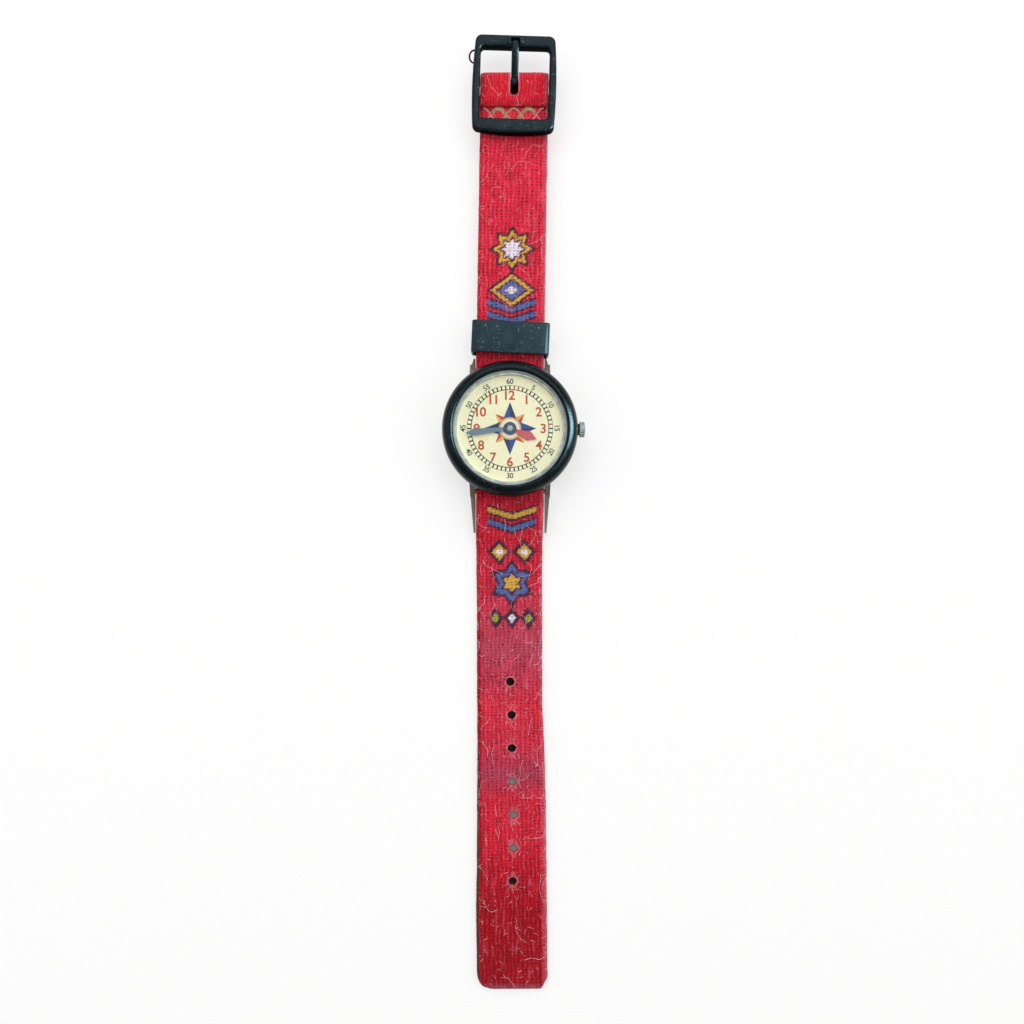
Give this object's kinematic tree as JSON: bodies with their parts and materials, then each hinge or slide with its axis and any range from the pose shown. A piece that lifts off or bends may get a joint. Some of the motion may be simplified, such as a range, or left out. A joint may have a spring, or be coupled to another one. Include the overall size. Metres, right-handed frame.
{
  "type": "toy watch",
  "caption": "Child's round analogue watch with a black bezel, cream dial and worn red textile strap with keeper and tongue buckle.",
  "frame": {"origin": "case axis on the strap's underside, at the level the watch lies on", "axes": "+Z out of the dial, +Y towards 12 o'clock and the buckle, +X towards the crown"},
  "size_m": [0.0289, 0.1949, 0.009],
  "materials": {
    "case_plastic": "satin moulded plastic",
    "bezel_black": "polished black plastic",
    "clear_glass": "clear flat glass",
    "black_rubber": "soft black seal",
    "ring_metal": "turned grey metal",
    "dial_cream": "printed cream card",
    "steel": "bright steel",
    "brass": "plain brass",
    "holder_plastic": "natural nylon",
    "board_green": "resist-coated board",
    "chip_black": "black resin",
    "coil_copper": "enamelled wire",
    "hand_blue": "blue-grey paint",
    "hand_red": "red paint",
    "textile_red": "worn red woven textile",
    "thread_tan": "tan thread",
    "buckle_black": "scuffed black plastic"
  },
  "bodies": {
    "case": {"case_body": "case_plastic", "bezel": "bezel_black", "crystal": "clear_glass", "crystal_gasket": "black_rubber", "dial_ring": "ring_metal", "dial": "dial_cream", "case_back": "steel", "case_back_gasket": "black_rubber", "lug_bars": "steel", "movement_holder": "holder_plastic", "main_plate": "brass", "train_bridge": "brass", "circuit_board": "board_green", "quartz_can": "steel", "circuit_chip": "chip_black", "coil": "coil_copper", "stator": "steel", "battery": "steel", "battery_clip": "brass", "movement_screws": "steel", "strap_centre": "textile_red"},
    "minute": {"centre_wheel": "brass", "cannon_pinion": "brass", "minute_hand": "hand_blue", "hand_cap": "steel"},
    "hour": {"hour_wheel": "brass", "hour_hand": "hand_red"},
    "minute_wheel": {"minute_wheel": "brass"},
    "third_wheel": {"third_wheel": "brass"},
    "rotor": {"rotor": "steel"},
    "setting": {"pull_piece": "steel"},
    "crown": {"stem": "steel", "clutch_wheel": "brass", "crown_gasket": "black_rubber", "crown": "steel"},
    "upper_strap": {"upper_strap": "textile_red", "fold_stitching": "thread_tan"},
    "keeper": {"keeper": "buckle_black"},
    "buckle": {"buckle_frame": "buckle_black", "buckle_bar": "steel", "tag_loop": "buckle_black"},
    "tongue": {"buckle_tongue": "buckle_black"},
    "lower_strap_1": {"lower_strap_1": "textile_red"},
    "lower_strap_2": {"lower_strap_2": "textile_red"},
    "lower_strap_3": {"lower_strap_3": "textile_red"},
    "lower_strap_4": {"lower_strap_4": "textile_red"}
  },
  "joints": [
    {"name": "minute_spin", "type": "hinge", "parent": "case", "child": "minute", "pos_m": [0, 0, 0.005], "axis": [0, 0, -1], "continuous": true},
    {"name": "hour_spin", "type": "hinge", "parent": "case", "child": "hour", "pos_m": [0, 0, 0.005], "axis": [0, 0, -1], "continuous": true},
    {"name": "minute_wheel_spin", "type": "hinge", "parent": "case", "child": "minute_wheel", "pos_m": [0.0017, 0.00295, 0.005], "axis": [0, 0, -1], "continuous": true},
    {"name": "third_wheel_spin", "type": "hinge", "parent": "case", "child": "third_wheel", "pos_m": [-0.00372, -0.00135, 0.005], "axis": [0, 0, -1], "continuous": true},
    {"name": "rotor_spin", "type": "hinge", "parent": "case", "child": "rotor", "pos_m": [-0.00435, -0.0049, 0.005], "axis": [0, 0, -1], "continuous": true},
    {"name": "crown_pull", "type": "slide", "parent": "case", "child": "setting", "axis": [1, 0, 0], "range_m": [0, 0.0008]},
    {"name": "crown_turn", "type": "hinge", "parent": "setting", "child": "crown", "pos_m": [0.0143, 0, 0.00455], "axis": [1, 0, 0], "continuous": true},
    {"name": "upper_strap_swing", "type": "hinge", "parent": "case", "child": "upper_strap", "pos_m": [0, 0.0124, 0.00135], "axis": [1, 0, 0], "range_deg": [-70, 12]},
    {"name": "keeper_slide", "type": "slide", "parent": "upper_strap", "child": "keeper", "axis": [0.0157, 0.9999, 0], "range_m": [0, 0.0365]},
    {"name": "buckle_swing", "type": "hinge", "parent": "upper_strap", "child": "buckle", "pos_m": [0.00093, 0.0716, 0.00195], "axis": [0.9995, -0.0314, 0], "range_deg": [-55, 0]},
    {"name": "tongue_swing", "type": "hinge", "parent": "buckle", "child": "tongue", "pos_m": [0.00093, 0.0716, 0.00195], "axis": [0.9995, -0.0314, 0], "range_deg": [0, 100]},
    {"name": "lower_strap_swing", "type": "hinge", "parent": "case", "child": "lower_strap_1", "pos_m": [0, -0.0124, 0.00135], "axis": [-1, 0, 0], "range_deg": [-70, 12]},
    {"name": "lower_curl_1", "type": "hinge", "parent": "lower_strap_1", "child": "lower_strap_2", "pos_m": [0, -0.03669, 0.0006], "axis": [-1, 0, 0], "range_deg": [-32, 32]},
    {"name": "lower_curl_2", "type": "hinge", "parent": "lower_strap_2", "child": "lower_strap_3", "pos_m": [0, -0.06211, 0.0006], "axis": [-1, 0, 0], "range_deg": [-32, 32]},
    {"name": "lower_curl_3", "type": "hinge", "parent": "lower_strap_3", "child": "lower_strap_4", "pos_m": [0, -0.08271, 0.0006], "axis": [-1, 0, 0], "range_deg": [-32, 32]}
  ],
  "couplings": [
    {"joint": "hour_spin", "follows": "minute_spin", "ratio": 0.083333},
    {"joint": "minute_wheel_spin", "follows": "minute_spin", "ratio": -0.33333},
    {"joint": "third_wheel_spin", "follows": "minute_spin", "ratio": -10},
    {"joint": "rotor_spin", "follows": "minute_spin", "ratio": 90}
  ]
}
